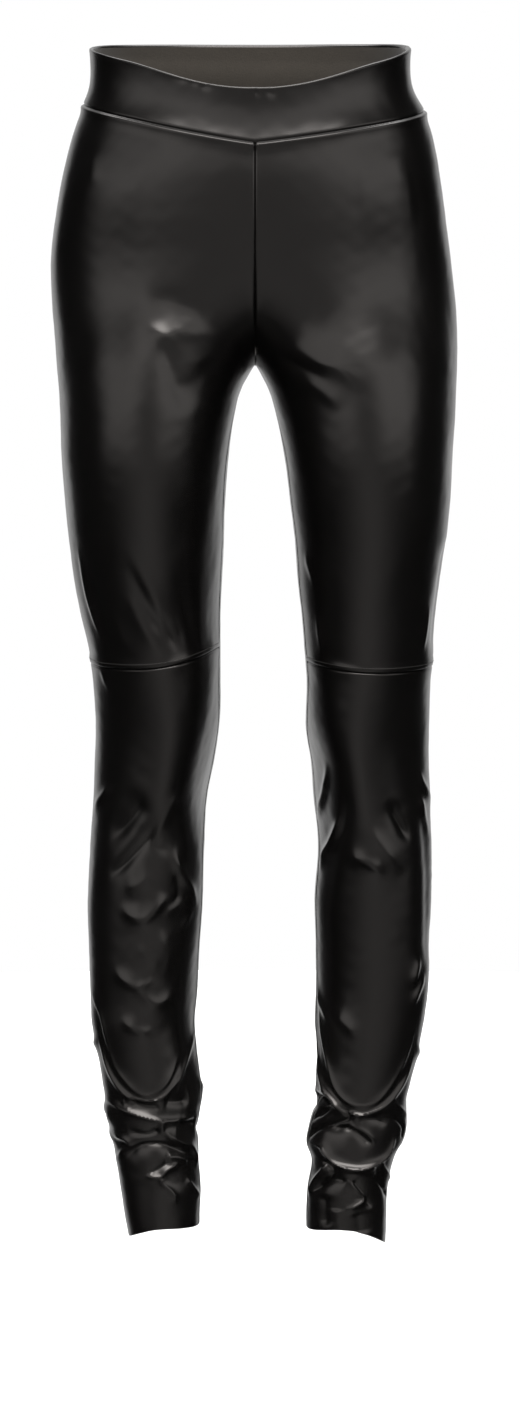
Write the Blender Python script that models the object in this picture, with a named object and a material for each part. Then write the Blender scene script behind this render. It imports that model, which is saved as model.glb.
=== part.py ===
# Faux leather leggings in their worn shape: hollow, filled out, with no wearer inside.
# The tables are in millimetres and the model is in metres: +Z up, the front towards -Y,
# +X on the wearer's left. The origin is the middle of the waist, where the garment is held.
import bpy
import numpy as np

mm = 0.001

# Driving dimensions
wallThickness = 1.2     # faux leather on its knit backing
bandThickness = 2.4     # the waistband is folded double
seamGap = 0.3           # clear space between neighbouring pieces
crotchHeight = -240.0
hipBlend = 110.0        # height over which the two thighs become one hip section
hipSquareness = 2.3     # exponent of the hip section, 2 is an ellipse
waistSquareness = 2.18  # and of the waist above it
waistBlend = 80.0       # height over which the one becomes the other
hipHeight = -120.0
sideSeamAngle = -6.0    # degrees round the leg, just behind its widest point
inseamAngle = 168.0     # degrees round the leg, just in front of its inner edge
inseamSwing = 80.0      # height below the crotch over which the inseam comes forward
leatherColour = (0.012, 0.012, 0.013)
leatherRoughness = 0.36

# Mesh density: rows in each stretch between two seam lines, columns on one panel
rowsIn = dict(band=4, hip=13, thigh=14, shin=42)
frontColumns = 12
backColumns = 10
middleGathering = 3     # how sharply the rows gather towards the crotch next to the middle seams
ankleCrowding = 0.45    # how much closer than even the rows lie at the hem, where folds are small
foldSteps = 8           # straight steps between two places on a fold's path
foldEase = 0.22         # share of a fold's path over which each end dies away

bandRows = rowsIn["band"]
crotchRow = bandRows + rowsIn["hip"]
kneeRow = crotchRow + rowsIn["thigh"]

# Outline from the front: where each leg's outer and inner edge stands at a height.
# Above the crotch the inner columns cross the middle, and each thigh is cut at x = 0.
outline = np.array([
    (26, -135, 122, -122, 125), (8, -137, 122, -122, 128), (-12, -139, 121, -121, 132),
    (-28, -143, 120, -120, 139), (-45, -149, 118, -118, 145), (-67, -155, 114, -114, 150),
    (-92, -161, 107, -107, 154), (-120, -166, 96, -96, 158), (-155, -170, 74, -74, 163),
    (-190, -169, 42, -42, 167), (-215, -167, 20, -20, 168), (-240, -165, 0, 0, 168),
    (-261, -163, -12, 11, 167), (-285, -162, -18, 18, 166), (-315, -161, -22, 24, 164),
    (-353, -158, -25, 29, 162), (-386, -155, -26, 33, 159), (-424, -150, -28, 36, 154),
    (-450, -145, -29, 39, 151), (-476, -139, -29, 41, 149), (-500, -136, -29, 43, 147),
    (-550, -134, -31, 43, 146), (-575, -135, -35, 47, 146), (-600, -136, -40, 49, 147),
    (-645, -139, -43, 53, 149), (-690, -141, -44, 50, 149), (-730, -140, -47, 51, 147),
    (-770, -139, -49, 51, 145), (-792, -138, -51, 50, 142), (-817, -133, -49, 52, 137),
    (-843, -129, -46, 51, 131), (-856, -127, -45, 52, 128), (-869, -128, -47, 48, 128),
    (-881, -123, -48, 45, 128), (-894, -120, -48, 43, 125), (-907, -118, -48, 47, 118),
    (-933, -114, -46, 44, 112), (-959, -110, -47, 43, 111), (-985, -105, -46, 44, 110),
], dtype=[(name, float) for name in ("z", "rightOuter", "rightInner", "leftInner", "leftOuter")])

# Outline from the side: the front and the back of both legs, and of the hip above them. Then,
# as shares of each leg's depth, how much further back than its inner side its outer side
# stands, and how far its flat inner face runs back before it rounds into the calf.
profile = np.array([
    (26, -91, 93, 0, 0, 0, 0), (0, -93, 94, 0, 0, 0, 0), (-25, -95, 98, 0, 0, 0, 0),
    (-62, -101.5, 104, 0, 0, 0, 0), (-85, -104, 110, 0, 0, 0, 0), (-118, -103.2, 118, 0, 0, 0, 0),
    (-150, -100.8, 124, 0, 0, 0, 0), (-180, -100.8, 125, 0, 0, 0, 0),
    (-215, -103.6, 119, 0.01, 0, 0, 0), (-250, -108.4, 109, 0.02, 0, 0, 0),
    (-285, -112, 99, 0.04, 0.01, 0, 0), (-315, -112.6, 92, 0.05, 0.02, 0.05, 0),
    (-345, -109.6, 85, 0.06, 0.02, 0.10, 0), (-380, -103, 78, 0.06, 0.02, 0.20, 0),
    (-415, -95.5, 72, 0.08, 0.03, 0.30, 0),
    (-450, -87.5, 64, 0.10, 0.05, 0.38, 0.05), (-490, -80, 52, 0.17, 0.11, 0.42, 0.20),
    (-530, -74, 48, 0.28, 0.26, 0.70, 0.60), (-560, -70, 48, 0.33, 0.32, 1.00, 1.00),
    (-600, -65, 51, 0.28, 0.24, 0.95, 0.95), (-650, -60, 54, 0.16, 0.06, 0.20, 0.35),
    (-700, -57, 52, 0.08, -0.04, 0.10, 0.15), (-766, -54, 46, 0.05, -0.04, 0.40, 0.25),
    (-817, -52, 40, 0.03, 0, 0.20, 0.10), (-860, -50, 38, 0, 0, 0, 0), (-900, -48, 37, 0, 0, 0, 0),
    (-940, -47, 36, 0, 0, 0, 0), (-985, -46, 37, 0, 0, 0, 0),
], dtype=[(name, float) for name in (
    "z", "front", "back", "rightTurn", "leftTurn", "rightLag", "leftLag")])

# Heights of the seam lines, from the front middle round the side seam to the back middle.
# Below the crotch both middles are the inseam.
waistSeamRow = 1  # in these tables, counted from the top
seamLines = {
    -1: np.array([
        (-18, 5, 20, 25, 26), (-60.5, -38, -24, -24, -25), (-240, -240, -240, -240, -240),
        (-475, -487.5, -488, -484, -475), (-963, -961, -975, -970, -963),
    ], dtype=float),
    1: np.array([
        (-18, 3, 20, 25, 26), (-60.5, -43, -29, -26, -25), (-240, -240, -240, -240, -240),
        (-486, -491, -490, -489, -486), (-966, -962, -981, -973, -966),
    ], dtype=float),
}

# The largest folds: which leg (-1 is the wearer's right), its front or back, the fold's path
# as (x, z) places seen from the front, how far it stands out (in, if negative), and its width.
folds = [dict(zip(("side", "face", "path", "rise", "width"), row)) for row in (
    (-1, "front", ((-88, -178), (-67, -185), (-44, -188)), -2.5, 12),
    (-1, "front", ((-87, -201), (-67, -217), (-45, -215), (-27, -212)), 3.0, 9),
    (-1, "front", ((-147, -372), (-143, -401), (-135, -442), (-122, -473)), -2.0, 9),
    (-1, "front", ((-106, -390), (-88, -432), (-70, -473)), -2.0, 9),
    (-1, "front", ((-91, -595), (-106, -621), (-125, -642)), -3.0, 8),
    (-1, "front", ((-67, -600), (-76, -616), (-87, -633)), 2.5, 8),
    (-1, "front", ((-81, -620), (-96, -643), (-125, -672)), -3.0, 8),
    (-1, "front", ((-65, -642), (-63, -661), (-47, -702)), 3.0, 7),
    (-1, "front", ((-111, -688), (-98, -701), (-75, -680)), -2.0, 9),
    (-1, "front", ((-117, -740), (-106, -755), (-71, -761)), -2.5, 9),
    (-1, "front", ((-130, -797), (-120, -834), (-90, -852), (-66, -835), (-58, -815)), 5.0, 8),
    (-1, "front", ((-124, -852), (-100, -866), (-60, -858)), -3.0, 6),
    (-1, "front", ((-109, -854), (-96, -865), (-78, -871)), 3.0, 6),
    (-1, "front", ((-105, -878), (-81, -878)), -4.0, 7),
    (-1, "front", ((-77, -877), (-67, -886), (-51, -902)), 3.0, 7),
    (-1, "front", ((-109, -899), (-92, -891), (-55, -903)), -3.0, 6),
    (1, "front", ((24, -223), (45, -227), (69, -234), (81, -247)), 3.0, 9),
    (1, "front", ((27, -240), (53, -250), (77, -262)), -2.5, 9),
    (1, "front", ((71, -621), (67, -638), (54, -665)), 3.0, 7),
    (1, "front", ((138, -577), (142, -594), (147, -608)), 2.5, 7),
    (1, "front", ((112, -604), (122, -618), (129, -634)), -2.0, 8),
    (1, "front", ((95, -620), (108, -637), (125, -659)), 2.0, 9),
    (1, "front", ((138, -742), (135, -756), (130, -769)), 2.0, 8),
    (1, "front", ((55, -798), (59, -839), (88, -861), (120, -845), (136, -803)), 5.0, 8),
    (1, "front", ((62, -864), (88, -875), (118, -866)), -3.0, 6),
    (1, "front", ((48, -882), (67, -875), (89, -881), (98, -889)), 3.0, 6),
    (1, "front", ((60, -895), (88, -896)), 3.0, 8),
    (1, "front", ((46, -904), (67, -911), (92, -913), (118, -897)), -3.0, 6),
    (-1, "back", ((-130, -268), (-85, -276), (-35, -262)), -3.0, 12),
    (-1, "back", ((-128, -505), (-85, -514), (-40, -500)), -3.0, 10),
    (-1, "back", ((-126, -545), (-90, -538), (-42, -548)), 2.5, 10),
    (-1, "back", ((-131, -806), (-95, -836), (-60, -812)), 4.0, 9),
    (-1, "back", ((-122, -858), (-90, -872), (-52, -860)), -4.0, 8),
    (-1, "back", ((-118, -893), (-86, -900), (-52, -890)), 3.0, 8),
    (1, "back", ((130, -268), (85, -276), (35, -262)), -3.0, 12),
    (1, "back", ((136, -508), (96, -500), (50, -510)), -3.0, 10),
    (1, "back", ((138, -542), (100, -550), (52, -540)), 2.5, 10),
    (1, "back", ((136, -812), (98, -842), (62, -818)), 4.0, 9),
    (1, "back", ((124, -862), (88, -868), (52, -858)), -4.0, 8),
    (1, "back", ((116, -900), (84, -908), (50, -898)), 3.0, 8),
)]


def smoothStep(value):
    # 0 below 0, 1 above 1, eased between
    value = np.clip(value, 0.0, 1.0)
    return value * value * (3 - 2 * value)


def readSmooth(table, column, z):
    # cubic Hermite curve through a table's rows, each row's slope taken from its neighbours
    knots, values = table["z"][::-1], table[column][::-1]
    return hermite(knots, values, np.gradient(values, knots), z)


def hermite(knots, values, slopes, wanted):
    # the smooth curve with these values and slopes at the knots, read at the wanted places
    wanted = np.clip(wanted, knots[0], knots[-1])
    low = np.clip(np.searchsorted(knots, wanted) - 1, 0, len(knots) - 2)
    span = knots[low + 1] - knots[low]
    part = (wanted - knots[low]) / span
    rest = 1 - part
    start, end = part * rest * rest * span, part * part * rest * span
    return (
        rest * rest * (1 + 2 * part) * values[low] + start * slopes[low]
        + part * part * (1 + 2 * rest) * values[low + 1] - end * slopes[low + 1]
    )


def rowHeights(side, level, around):
    # level 0 is the band's top, 1 the waist seam, 2 the crotch, 3 the knee seam, 4 the hem;
    # around is 0 at the front middle, 1 at the side seam and 2 at the back middle
    lines = seamLines[side]
    stations = np.linspace(0, 2, lines.shape[1])
    upper = np.clip(np.floor(level).astype(int), 0, 3)
    part = level - upper
    # rows gather towards the crotch on the middle seams, where the cut turns under the body
    middle = np.abs(around - 1) ** middleGathering
    gathered = np.select(
        [upper == 1, upper == 2], [np.sin(part * np.pi / 2), 1 - np.cos(part * np.pi / 2)], part)
    # rows come closer together towards the ankle, where the folds are small
    even = np.where(upper == 3, part * (1 + ankleCrowding - ankleCrowding * part), part)
    gathered = np.where(upper == 3, even, gathered)
    share = even + (gathered - even) * middle
    heights = np.array([readLine(line, stations, around, index == waistSeamRow)
                        for index, line in enumerate(lines)])
    above = np.take_along_axis(heights, upper[None], 0)[0]
    below = np.take_along_axis(heights, upper[None] + 1, 0)[0]
    return above + (below - above) * share


def readLine(line, stations, around, pointed):
    # a seam line's height at a place around, eased from station to station; a pointed one
    # keeps its slope up to the front middle, where both sides meet in a shallow point
    slopes = np.gradient(line, stations)
    slopes[-1] = 0.0
    if not pointed:
        slopes[0] = 0.0
    return hermite(stations, line, slopes, around)


def legSection(side, z):
    # middle, half width, middle depth, half depth, turn and lag of one leg at a height
    name = "left" if side > 0 else "right"
    outer = readSmooth(outline, name + "Outer", z) * side
    inner = readSmooth(outline, name + "Inner", z) * side
    front, back = readSmooth(profile, "front", z), readSmooth(profile, "back", z)
    turn, lag = readSmooth(profile, name + "Turn", z), readSmooth(profile, name + "Lag", z)
    return ((outer + inner) / 2, (outer - inner) / 2, (front + back) / 2, (back - front) / 2,
            turn, lag)


def bodySurface(side, level, around):
    # points of the garment's outside, and each one's angle round the leg
    z = rowHeights(side, level, around)
    centre, halfWidth, depthCentre, halfDepth, turn, lag = legSection(side, z)
    seam = np.radians(sideSeamAngle)
    swing = smoothStep((crotchHeight - z) / inseamSwing)
    cut = np.arccos(np.clip(-centre / halfWidth, -1, 1))
    back = around > 1
    # how far short of the leg's inner edge a panel ends: at the cut above the crotch, and at
    # the inseam below it, where the front ends sooner and the back reaches further round
    inseam = np.radians(180 - inseamAngle) * swing * np.where(back, -1, 1)
    turned = np.where(z > crotchHeight, np.pi - cut, inseam)
    # next to the crotch only the columns near the middle turn with the cut
    reach = np.abs(around - 1)
    power = 1 + 2 * np.clip(1 - turned / (np.pi / 2), 0, 1)
    full = np.where(back, -np.pi - seam, np.pi - seam)
    angle = seam + full * reach - np.sign(full) * turned * reach ** power
    legX = centre + halfWidth * np.cos(angle)
    across = np.cos(angle)
    legY = depthCentre - halfDepth * (
        np.sin(angle) - turn * across - lag * np.maximum(-across, 0) ** 3)
    # the hip section reaches from one side to the other as a squared ellipse
    hipAngle = np.where(
        back, seam - (np.pi / 2 + seam) * (around - 1), np.pi / 2 + (seam - np.pi / 2) * around)
    power = 2 / (hipSquareness + (waistSquareness - hipSquareness)
                 * smoothStep((z - hipHeight) / waistBlend))
    hipX = (centre + halfWidth) * np.abs(np.cos(hipAngle)) ** power
    hipY = depthCentre - halfDepth * np.sign(np.sin(hipAngle)) * np.abs(np.sin(hipAngle)) ** power
    blend = smoothStep((z - crotchHeight) / hipBlend)
    x = np.maximum(legX + (hipX - legX) * blend, 0.0)
    y = legY + (hipY - legY) * blend
    return np.stack([x * side, y, z], axis=-1), angle


def foldRise(side, points, angle):
    # how far the folds move the outside of one side out, each as a rounded bar along its path
    z = points[..., 2]
    rise = np.zeros_like(z)
    for fold in folds:
        if fold["side"] != side:
            continue
        places = np.array(fold["path"], dtype=float)
        centre, halfWidth, _, halfDepth = legSection(side, places[:, 1])[:4]
        placeAngle = np.arccos(np.clip((places[:, 0] * side - centre) / halfWidth, -1, 1))
        if fold["face"] == "back":
            placeAngle = -placeAngle
        radius = np.mean(halfWidth + halfDepth) / 2
        route = curveThrough(np.stack([placeAngle * radius, places[:, 1]], axis=-1), foldSteps)
        # across the leg a place's distance from the fold is taken the short way round
        turns = np.remainder(angle - route[0, 0] / radius + np.pi, 2 * np.pi) - np.pi
        spot = np.stack([turns * radius + route[0, 0], z], axis=-1)
        distance, share = distanceTo(route, spot)
        ends = smoothStep(share / foldEase) * smoothStep((1 - share) / foldEase)
        rise += fold["rise"] * ends * np.exp(-((distance / fold["width"]) ** 2))
    return rise


def curveThrough(places, steps):
    # a smooth line through the places, with the same number of steps between each two
    stations = np.arange(len(places), dtype=float)
    wanted = np.linspace(0, len(places) - 1, steps * (len(places) - 1) + 1)
    columns = [hermite(stations, column, np.gradient(column), wanted) for column in places.T]
    return np.stack(columns, axis=-1)


def distanceTo(route, spot):
    # each spot's distance from a route, and how far along the route it is nearest
    best = np.full(spot.shape[:-1], 1e9)
    share = np.zeros(spot.shape[:-1])
    count = len(route) - 1
    for index in range(count):
        start, run = route[index], route[index + 1] - route[index]
        along = np.clip(((spot - start) @ run) / (run @ run), 0, 1)
        distance = np.linalg.norm(spot - start - along[..., None] * run, axis=-1)
        nearer = distance < best
        best = np.where(nearer, distance, best)
        share = np.where(nearer, (index + along) / count, share)
    return best, share


def gridNormals(points):
    # outward normals of one side's whole grid, front middle to back middle
    down = np.gradient(points, axis=0)
    mirrored = points * (-1, 1, 1)
    across = np.empty_like(points)
    across[:, 1:-1] = points[:, 2:] - points[:, :-2]
    # above the crotch the other side's panel carries on past the middle seams
    across[:, 0] = points[:, 1] - mirrored[:, 1]
    across[:, -1] = mirrored[:, -2] - points[:, -2]
    # below it the inseam closes the leg
    across[crotchRow + 1:, 0] = across[crotchRow + 1:, -1] = (
        points[crotchRow + 1:, 1] - points[crotchRow + 1:, -2])
    normals = np.cross(across, down)
    normals /= np.linalg.norm(normals, axis=-1, keepdims=True)
    shared = normals[crotchRow:, 0] + normals[crotchRow:, -1]
    shared /= np.linalg.norm(shared, axis=-1, keepdims=True)
    normals[crotchRow:, 0] = normals[crotchRow:, -1] = shared
    return normals


def sideGrid(side):
    # one side's whole outside and its normals: rows from the band's top to the hem,
    # columns from the front middle round the side seam to the back middle
    levels = np.concatenate([
        index + np.arange(count) / count for index, count in enumerate(rowsIn.values())] + [[4.0]])
    around = np.concatenate([
        np.arange(frontColumns) / frontColumns, 1 + np.arange(backColumns + 1) / backColumns])
    points, angle = bodySurface(side, *np.meshgrid(levels, around, indexing="ij"))
    normals = gridNormals(points) * -side
    points = points + normals * foldRise(side, points, angle)[..., None]
    return points, gridNormals(points) * -side


def trimmed(grid, edges, side):
    # the grid with its named edges moved half a seam gap in, and a leg's panel kept as far
    # from the middle plane; side is 0 for a piece that spans both legs
    grid = grid.copy()
    places = {"top": (0, slice(None)), "bottom": (-1, slice(None)),
              "start": (slice(None), 0), "end": (slice(None), -1)}
    nexts = {"top": (1, slice(None)), "bottom": (-2, slice(None)),
             "start": (slice(None), 1), "end": (slice(None), -2)}
    for edge in edges:
        step = grid[nexts[edge]] - grid[places[edge]]
        length = np.linalg.norm(step, axis=-1, keepdims=True)
        grid[places[edge]] += step * (seamGap / 2 / length)
    if side:
        grid[..., 0] = side * np.maximum(grid[..., 0] * side, seamGap / 2)
    return grid


def makeMaterial(name, colour, roughness):
    material = bpy.data.materials.new(name)
    material.use_nodes = True
    shader = material.node_tree.nodes["Principled BSDF"]
    shader.inputs["Base Color"].default_value = (*colour, 1)
    shader.inputs["Roughness"].default_value = roughness
    shader.inputs["Metallic"].default_value = 0.0
    return material


def makeWall(name, outside, normals, thickness, edges, side, material):
    # a closed wall: the outside grid, the same grid moved inwards, and a rim round both
    inside = trimmed(outside - normals * thickness, edges, side)
    outside = trimmed(outside, edges, side)
    rows, columns = outside.shape[:2]
    index = np.arange(rows * columns).reshape(rows, columns)
    a, b, c, d = index[:-1, :-1], index[:-1, 1:], index[1:, 1:], index[1:, :-1]
    # each four-sided face is split along its shorter diagonal, the same on both sides
    flat = outside.reshape(-1, 3)
    shorter = np.linalg.norm(flat[a] - flat[c], axis=-1) < np.linalg.norm(flat[b] - flat[d], axis=-1)
    outer = np.where(
        shorter[..., None], np.stack([a, d, c, a, c, b], axis=-1),
        np.stack([a, d, b, d, c, b], axis=-1)).reshape(-1, 3)
    inner = outer[:, ::-1] + rows * columns
    ring = np.concatenate([index[0, :-1], index[:-1, -1], index[-1, :0:-1], index[:0:-1, 0]])
    after = np.roll(ring, -1)
    lower, lowerAfter = ring + rows * columns, after + rows * columns
    rim = np.stack([ring, after, lowerAfter, ring, lowerAfter, lower], axis=-1).reshape(-1, 3)
    faces = np.concatenate([outer, inner, rim])
    points = np.concatenate([outside.reshape(-1, 3), inside.reshape(-1, 3)]) * mm
    first = outer[0]
    facing = np.cross(points[first[1]] - points[first[0]], points[first[2]] - points[first[0]])
    if facing @ normals.reshape(-1, 3)[first[0]] < 0:
        faces = faces[:, ::-1]
    mesh = bpy.data.meshes.new(name)
    mesh.from_pydata(points.tolist(), [], faces.tolist())
    mesh.shade_smooth()
    mesh.set_sharp_from_angle(angle=np.radians(50))
    mesh.materials.append(material)
    piece = bpy.data.objects.new(name, mesh)
    bpy.context.scene.collection.objects.link(piece)
    return piece


def makePanels(side, points, normals, leather):
    # the front thigh, the front shin and the full-length back of one leg
    name = "left" if side > 0 else "right"
    front, back = slice(0, frontColumns + 1), slice(frontColumns, None)
    for panel, rows, columns, edges in (
        ("front_thigh_", slice(bandRows, kneeRow + 1), front, ("start", "end", "top", "bottom")),
        ("front_shin_", slice(kneeRow, None), front, ("start", "end", "top")),
        ("back_", slice(bandRows, None), back, ("start", "end", "top")),
    ):
        makeWall(panel + name, points[rows, columns], normals[rows, columns], wallThickness,
                 edges, side, leather)


def makeBand(grids, leather):
    # the waistband's front and back, each from one side seam to the other
    rows, edges = slice(0, bandRows + 1), ("start", "end", "bottom")
    for name, columns in (
        ("waistband_front", slice(frontColumns, None, -1)), ("waistband_back", slice(frontColumns, None)),
    ):
        # from the right side seam to the middle, and on to the left side seam
        points, normals = (
            np.concatenate([right[rows, columns], left[rows, columns][:, -2::-1]], axis=1)
            for right, left in zip(grids[-1], grids[1]))
        makeWall(name, points, normals, bandThickness, edges, 0, leather)


def main():
    for item in list(bpy.data.objects):
        bpy.data.objects.remove(item)
    grids = {side: sideGrid(side) for side in (-1, 1)}
    makeBand(grids, makeMaterial("waistband_leather", leatherColour, leatherRoughness))
    leather = makeMaterial("faux_leather", leatherColour, leatherRoughness)
    for side in (-1, 1):
        makePanels(side, *grids[side], leather)


main()
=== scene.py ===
import bpy
import numpy as np
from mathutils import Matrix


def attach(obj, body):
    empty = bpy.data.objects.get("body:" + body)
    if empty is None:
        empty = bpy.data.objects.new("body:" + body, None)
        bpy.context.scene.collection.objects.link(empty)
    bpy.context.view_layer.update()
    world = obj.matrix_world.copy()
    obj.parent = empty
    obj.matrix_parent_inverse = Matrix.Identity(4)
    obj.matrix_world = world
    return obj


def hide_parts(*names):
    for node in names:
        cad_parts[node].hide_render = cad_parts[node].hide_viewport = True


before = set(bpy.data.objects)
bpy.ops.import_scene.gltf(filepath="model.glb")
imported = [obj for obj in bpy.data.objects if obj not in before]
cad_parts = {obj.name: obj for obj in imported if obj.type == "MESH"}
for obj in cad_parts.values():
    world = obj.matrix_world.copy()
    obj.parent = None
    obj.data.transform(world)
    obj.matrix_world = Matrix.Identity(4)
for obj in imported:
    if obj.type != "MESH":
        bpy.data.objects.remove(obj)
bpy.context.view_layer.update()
mm = 0.001

# The worn form, in millimetres, as the solids have it: outline from the front, profile from
# the side, and the seam lines' heights from the front middle round to the back middle.
form = dict(crotch=-240.0, hipBlend=110.0, hipSquareness=2.3, waistSquareness=2.18,
            waistBlend=80.0, hipHeight=-120.0, sideSeam=-6.0, inseam=168.0, inseamSwing=80.0,
            wall=1.2, band=2.4, bandProud=0.6, seamGap=0.3)

# The grids: how sharply rows gather towards the crotch next to the middle seams, how much
# closer than even they lie at the hem, steps round a rounded edge, and the angle in degrees
# from which an edge is shown sharp
density = dict(middleGathering=3, ankleCrowding=0.45, rimSteps=6, sharpAngle=60)

outline = np.array([
    (26, -135, 122, -122, 125), (8, -137, 122, -122, 128), (-12, -139, 121, -121, 132),
    (-28, -143, 120, -120, 139), (-45, -149, 118, -118, 145), (-67, -155, 114, -114, 150),
    (-92, -161, 107, -107, 154), (-120, -166, 96, -96, 158), (-155, -170, 74, -74, 163),
    (-190, -169, 42, -42, 167), (-215, -167, 20, -20, 168), (-240, -165, 0, 0, 168),
    (-261, -163, -12, 11, 167), (-285, -162, -18, 18, 166), (-315, -161, -22, 24, 164),
    (-353, -158, -25, 29, 162), (-386, -155, -26, 33, 159), (-424, -150, -28, 36, 154),
    (-450, -145, -29, 39, 151), (-476, -139, -29, 41, 149), (-500, -136, -29, 43, 147),
    (-550, -134, -31, 43, 146), (-575, -135, -35, 47, 146), (-600, -136, -40, 49, 147),
    (-645, -139, -43, 53, 149), (-690, -141, -44, 50, 149), (-730, -140, -47, 51, 147),
    (-770, -139, -49, 51, 145), (-792, -138, -51, 50, 142), (-817, -133, -49, 52, 137),
    (-843, -129, -46, 51, 131), (-856, -127, -45, 52, 128), (-869, -128, -47, 48, 128),
    (-881, -123, -48, 45, 128), (-894, -120, -48, 43, 125), (-907, -118, -48, 47, 118),
    (-933, -114, -46, 44, 112), (-959, -110, -47, 43, 111), (-985, -105, -46, 44, 110),
], dtype=[(name, float) for name in ("z", "rightOuter", "rightInner", "leftInner", "leftOuter")])

profile = np.array([
    (26, -91, 93, 0, 0, 0, 0), (0, -93, 94, 0, 0, 0, 0), (-25, -95, 98, 0, 0, 0, 0),
    (-62, -101.5, 104, 0, 0, 0, 0), (-85, -104, 110, 0, 0, 0, 0), (-118, -103.2, 118, 0, 0, 0, 0),
    (-150, -100.8, 124, 0, 0, 0, 0), (-180, -100.8, 125, 0, 0, 0, 0),
    (-215, -103.6, 119, 0.01, 0, 0, 0), (-250, -108.4, 109, 0.02, 0, 0, 0),
    (-285, -112, 99, 0.04, 0.01, 0, 0), (-315, -112.6, 92, 0.05, 0.02, 0.05, 0),
    (-345, -109.6, 85, 0.06, 0.02, 0.10, 0), (-380, -103, 78, 0.06, 0.02, 0.20, 0),
    (-415, -95.5, 72, 0.08, 0.03, 0.30, 0),
    (-450, -87.5, 64, 0.10, 0.05, 0.38, 0.05), (-490, -80, 52, 0.17, 0.11, 0.42, 0.20),
    (-530, -74, 48, 0.28, 0.26, 0.70, 0.60), (-560, -70, 48, 0.33, 0.32, 1.00, 1.00),
    (-600, -65, 51, 0.28, 0.24, 0.95, 0.95), (-650, -60, 54, 0.16, 0.06, 0.20, 0.35),
    (-700, -57, 52, 0.08, -0.04, 0.10, 0.15), (-766, -54, 46, 0.05, -0.04, 0.40, 0.25),
    (-817, -52, 40, 0.03, 0, 0.20, 0.10), (-860, -50, 38, 0, 0, 0, 0), (-900, -48, 37, 0, 0, 0, 0),
    (-940, -47, 36, 0, 0, 0, 0), (-985, -46, 37, 0, 0, 0, 0),
], dtype=[(name, float) for name in (
    "z", "front", "back", "rightTurn", "leftTurn", "rightLag", "leftLag")])

seamLines = {
    -1: np.array([
        (-18, 5, 20, 25, 26), (-60.5, -38, -24, -24, -25), (-240, -240, -240, -240, -240),
        (-475, -487.5, -488, -484, -475), (-963, -961, -975, -970, -963)], dtype=float),
    1: np.array([
        (-18, 3, 20, 25, 26), (-60.5, -43, -29, -26, -25), (-240, -240, -240, -240, -240),
        (-486, -491, -490, -489, -486), (-966, -962, -981, -973, -966)], dtype=float),
}

# Folds. side -1 is the wearer's right leg. A path is (x, z) seen from the front or the back,
# or (y, z) seen from the outer or the inner side. rise is how far the fold stands out (in, if
# negative), above and below are the widths of its flanks over and under the path, and round is
# the radius of its crest.
foldColumns = ("side", "face", "path", "rise", "above", "below", "round")


def inFront(*rows):
    # rows of folds that are all on the front, and so leave out the face
    return tuple((side, "front", *rest) for side, *rest in rows)


groinFolds = inFront(
    (-1, ((-134, -64), (-131, -80), (-130, -98)), 1.6, 5, 5, 8),
    (1, ((112, -62), (116, -80), (115, -100)), 1.2, 7, 7, 8),
    (-1, ((-91, -180), (-73, -185), (-52, -190), (-32, -193)), -2.4, 5, 9, 5),
    (-1, ((-89, -204), (-80, -212), (-71, -217), (-61, -214), (-44, -214),
          (-28, -214)), 2.4, 9, 3.0, 3),
    (-1, ((-62, -203), (-51, -205), (-40, -209)), 1.0, 2.5, 2.5, 1.5),
    (-1, ((-72, -214), (-69, -236), (-62, -256), (-52, -280)), -4.0, 15, 7, 4),
    (-1, ((-42, -234), (-35, -247), (-25, -263)), -1.6, 5, 4, 2),
    (-1, ((-13, -219), (-11, -232), (-8, -246)), -1.4, 4, 4, 2),
    (1, ((27, -196), (48, -206), (70, -216)), -0.8, 8, 8, 6),
    (1, ((23, -222), (36, -229), (53, -237), (69, -243), (80, -253), (85, -264)), 2.6, 9, 5, 3),
    (1, ((35, -248), (48, -256), (61, -265), (70, -277)), 1.8, 7, 5, 3),
    (1, ((11, -229), (28, -237), (46, -245), (62, -254)), -1.6, 5, 5, 3),
)
thighFolds = inFront(
    (-1, ((-147, -383), (-142, -408), (-138, -429), (-131, -451), (-121, -473)), 2.2, 2.5, 2.5, 0.8),
    (-1, ((-135, -399), (-130, -432), (-121, -458)), -1.7, 5, 5, 3),
    (-1, ((-105, -420), (-97, -440), (-87, -458), (-76, -478)), 2.5, 5, 5, 3),
    (-1, ((-107, -394), (-94, -422), (-82, -445), (-70, -475)), -2.2, 4, 4, 2),
    (-1, ((-108, -381), (-94, -405), (-81, -430), (-73, -452), (-64, -477)), 1.7, 4, 4, 2),
    (-1, ((-84, -428), (-74, -447), (-67, -463), (-59, -478)), -2.5, 3, 4, 1.5),
    (-1, ((-69, -397), (-58, -430), (-52, -456), (-45, -478)), -2.0, 5, 5, 3),
    (-1, ((-119, -443), (-111, -457), (-104, -474)), 1.1, 4, 4, 2),
    (1, ((40, -394), (45, -406), (50, -422)), 1.4, 3, 3, 1.5),
    (1, ((50, -442), (53, -460), (55, -478)), 1.4, 3, 3, 1.5),
    (1, ((144, -435), (141, -457), (137, -479)), 2.0, 3, 3, 1),
    (1, ((138, -431), (133, -453), (130, -468)), -1.1, 4, 4, 2),
)
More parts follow.
